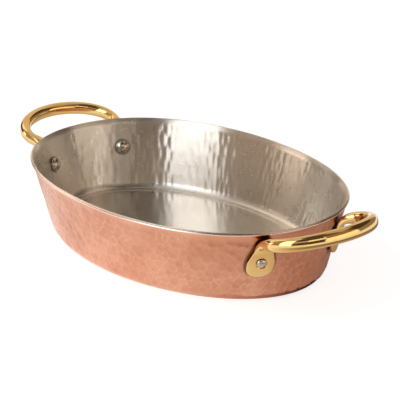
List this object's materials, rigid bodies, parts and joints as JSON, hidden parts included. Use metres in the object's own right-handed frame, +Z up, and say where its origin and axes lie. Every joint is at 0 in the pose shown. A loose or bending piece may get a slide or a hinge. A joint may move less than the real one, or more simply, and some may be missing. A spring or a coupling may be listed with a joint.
{
  "type": "oval pan",
  "caption": "Shallow oval copper pan with flared hammered sides, a turned-out lip, a pale metal lining and cast brass loop handles riveted to its ends, for baking and serving.",
  "frame": {"origin": "middle of the pan's flat underside, on the surface it stands on", "axes": "+X along the pan's length through both handles, +Y across it, +Z up"},
  "size_m": [0.3216, 0.173, 0.06],
  "materials": {
    "copper": "hammered, satin copper",
    "lining": "hammered walls, smooth floor",
    "brass": "polished",
    "rivet": "polished"
  },
  "bodies": {
    "root": {"copper_shell": "copper", "lining": "lining", "handle_right": "brass", "handle_left": "brass", "rivet_right_front": "rivet", "rivet_right_back": "rivet", "rivet_left_front": "rivet", "rivet_left_back": "rivet"}
  },
  "joints": []
}
